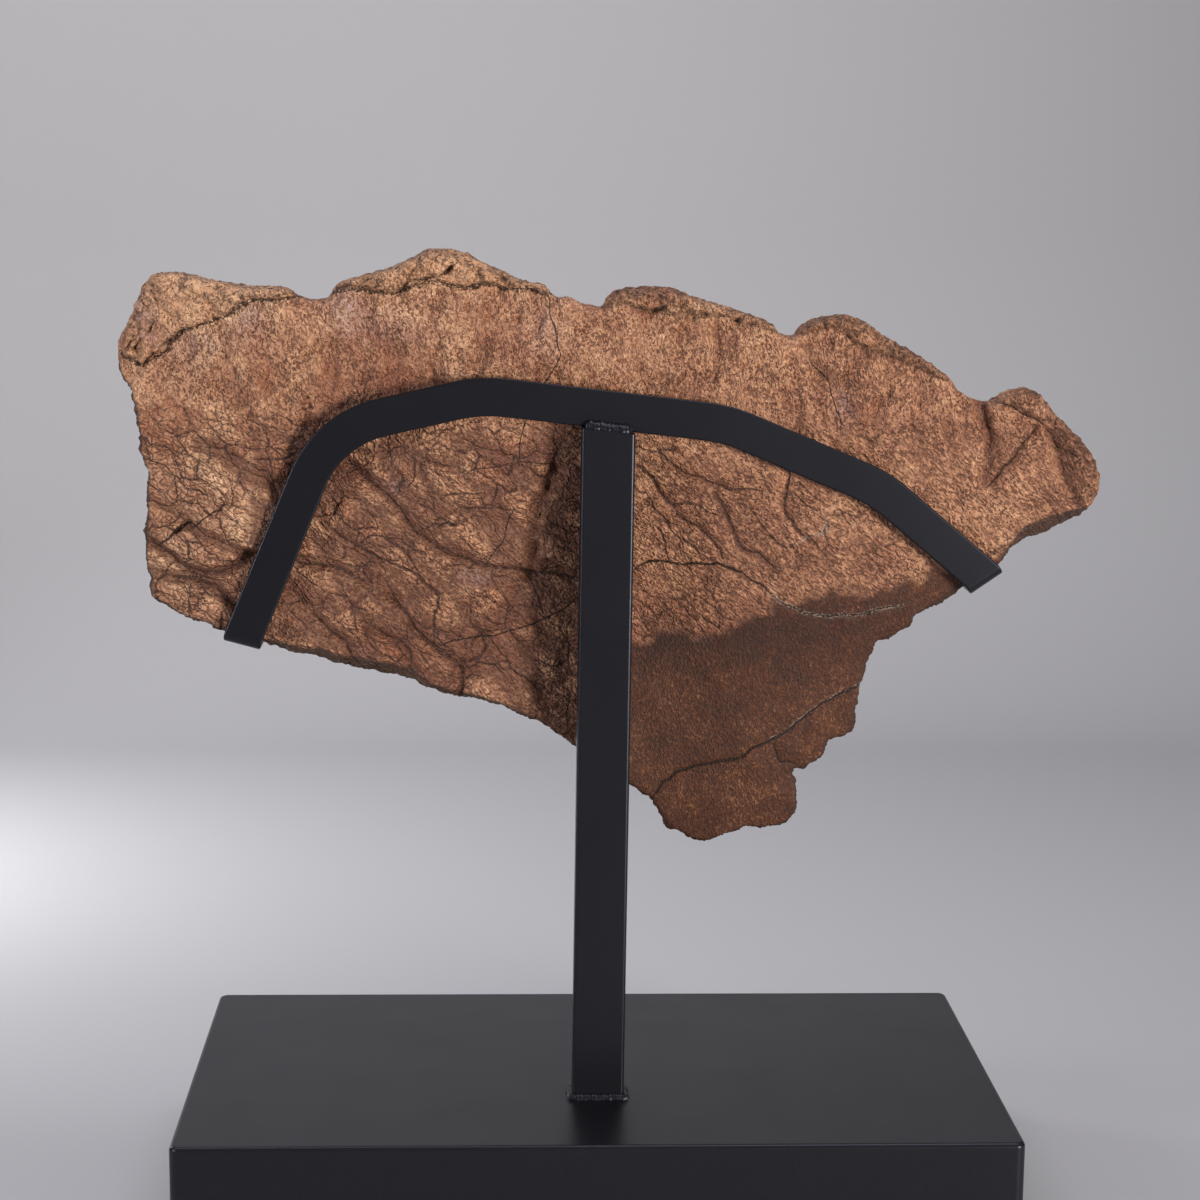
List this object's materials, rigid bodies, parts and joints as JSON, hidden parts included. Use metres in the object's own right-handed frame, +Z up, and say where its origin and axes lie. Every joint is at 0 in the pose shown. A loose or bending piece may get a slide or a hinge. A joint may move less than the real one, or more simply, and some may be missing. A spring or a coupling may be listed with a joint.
{
  "type": "fossil dinosaur frill bone on a display stand",
  "caption": "Fossil piece from the margin of a horned dinosaur's bony frill, cradled upright by a hooked flat-bar arch on a post and a boxed sheet steel base.",
  "frame": {"origin": "on the floor, in the middle of the footprint of the whole object", "axes": "+Z up; -Y towards the viewer, where the post and the strap show; +Y towards the bone and its far face; +X to the right as seen from the stand's side"},
  "size_m": [0.7018, 0.336, 0.7159],
  "materials": {
    "fossil_bone": "permineralised bone, matte, warm brown with darker grooves",
    "powder_coated_steel": "satin black powder coat"
  },
  "bodies": {
    "root": {"frill_bone": "fossil_bone", "cradle_strap": "powder_coated_steel", "post": "powder_coated_steel", "base": "powder_coated_steel", "top_weld": "powder_coated_steel", "foot_weld": "powder_coated_steel"}
  },
  "joints": []
}
